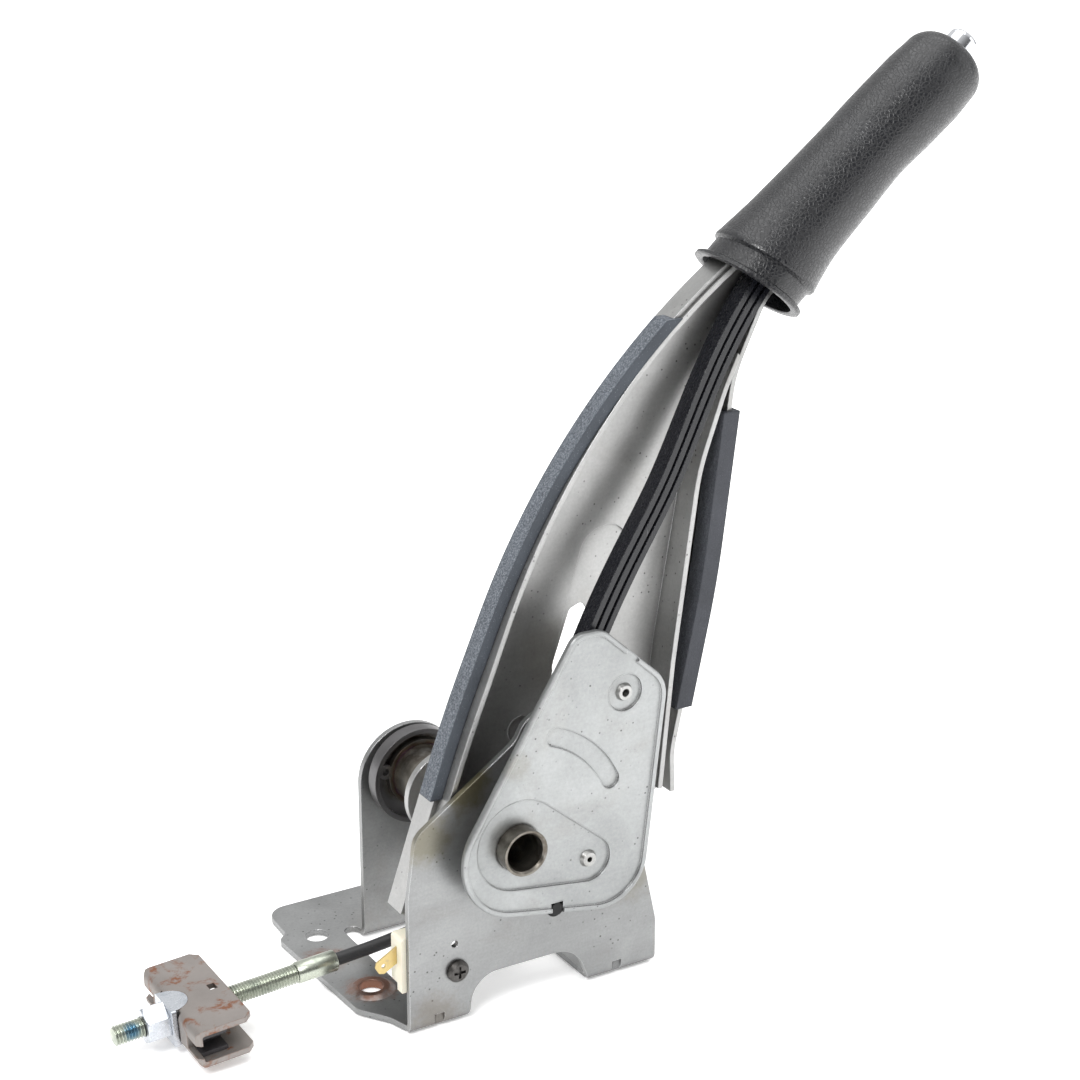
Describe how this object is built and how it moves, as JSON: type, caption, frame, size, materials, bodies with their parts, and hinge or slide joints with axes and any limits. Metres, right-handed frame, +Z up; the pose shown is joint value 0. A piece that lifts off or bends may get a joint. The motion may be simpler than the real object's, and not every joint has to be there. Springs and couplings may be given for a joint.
{
  "type": "parking brake lever",
  "caption": "Pull-up parking brake lever with a floor bracket, covered ratchet and pawl, release button in a moulded grip, warning switch, and a pull cable with adjuster and equalizer bar.",
  "frame": {"origin": "on the lever's pivot axis, midway along the pivot between the two side plates", "axes": "+Y along the pivot from the near side plate to the far one, +X towards the grip, +Z up from the floor"},
  "size_m": [0.3699, 0.134, 0.3648],
  "materials": {
    "pressed_steel": "satin, zinc grey",
    "dark_steel": "hardened, satin",
    "tube_steel": "turned, slightly heat tinted",
    "rivet_steel": "satin",
    "zinc_stud": "yellow-green zinc plate",
    "bright_zinc": "bright zinc plate",
    "worn_steel": "satin with light rust",
    "foam_rubber": "matt foam",
    "grip_plastic": "fine leather grain",
    "black_plastic": "satin",
    "chrome": "polished",
    "cream_plastic": "matt",
    "brass": "satin"
  },
  "bodies": {
    "bracket": {"bracket": "pressed_steel", "pivot_tube": "tube_steel", "toothed_quadrant": "dark_steel", "quadrant_rivets": "rivet_steel", "switch_body": "cream_plastic", "switch_terminal": "brass", "switch_screw": "rivet_steel", "thrust_washer": "pressed_steel"},
    "lever": {"lever_inner_channel": "pressed_steel", "lever_outer_channel": "pressed_steel", "front_trim_strip": "foam_rubber", "rear_trim_strip": "foam_rubber", "ratchet_cover": "pressed_steel", "rubber_bumper": "foam_rubber", "pawl_pin": "rivet_steel", "stop_pin": "rivet_steel", "lever_sleeve": "tube_steel", "end_disc": "pressed_steel", "cable_arm": "pressed_steel", "cable_pin": "rivet_steel", "grip": "grip_plastic", "grip_core": "black_plastic"},
    "button": {"button": "chrome", "button_stem": "black_plastic"},
    "release_rod": {"release_rod": "black_plastic"},
    "pawl": {"pawl": "dark_steel", "pawl_spring": "rivet_steel"},
    "pull_rod": {"cable_eye": "rivet_steel", "cable": "black_plastic", "adjuster_stud": "zinc_stud"},
    "saddle": {"saddle": "bright_zinc"},
    "nut": {"adjuster_nut": "bright_zinc"},
    "equalizer": {"equalizer": "worn_steel", "equalizer_blocks": "black_plastic"},
    "plunger": {"switch_plunger": "cream_plastic"}
  },
  "joints": [
    {"name": "lever_pull", "type": "hinge", "parent": "bracket", "child": "lever", "pos_m": [0, 0, 0], "axis": [0, 1, 0], "range_deg": [0, 42]},
    {"name": "button_press", "type": "slide", "parent": "lever", "child": "button", "axis": [-0.7466, 0, -0.6652], "range_m": [0, 0.004], "stiffness_N_per_m": 900, "springref_m": -0.008},
    {"name": "rod_push", "type": "slide", "parent": "lever", "child": "release_rod", "axis": [-0.5429, 0, -0.8398], "range_m": [-0.0002, 0.0042]},
    {"name": "pawl_lift", "type": "hinge", "parent": "lever", "child": "pawl", "pos_m": [0.047, -0.0417, 0.0537], "axis": [0, -1, 0], "range_deg": [-0.3, 12]},
    {"name": "cable_turn", "type": "hinge", "parent": "lever", "child": "pull_rod", "pos_m": [0.01545, 0, -0.04755], "axis": [0, 1, 0], "range_deg": [-43, 1]},
    {"name": "saddle_slide", "type": "slide", "parent": "pull_rod", "child": "saddle", "axis": [0.9978, 0, 0.0663], "range_m": [-0.00375, 0.00375]},
    {"name": "nut_turn", "type": "hinge", "parent": "saddle", "child": "nut", "pos_m": [-0.13024, 0, -0.06229], "axis": [0.9978, 0, 0.0663], "range_deg": [-1100, 1100]},
    {"name": "equalizer_tilt", "type": "hinge", "parent": "saddle", "child": "equalizer", "pos_m": [-0.12368, 0, -0.06265], "axis": [-0.0663, 0, 0.9978], "range_deg": [-8, 8]},
    {"name": "plunger_press", "type": "slide", "parent": "bracket", "child": "plunger", "axis": [0, 0, -1], "range_m": [0, 0.0025], "stiffness_N_per_m": 600, "springref_m": -0.004}
  ],
  "couplings": [
    {"joint": "rod_push", "follows": "button_press", "ratio": 1},
    {"joint": "pawl_lift", "follows": "button_press", "rad_per_m": 49.5},
    {"joint": "cable_turn", "follows": "lever_pull", "ratio": -1},
    {"joint": "nut_turn", "follows": "saddle_slide", "rad_per_m": 5026.5}
  ]
}
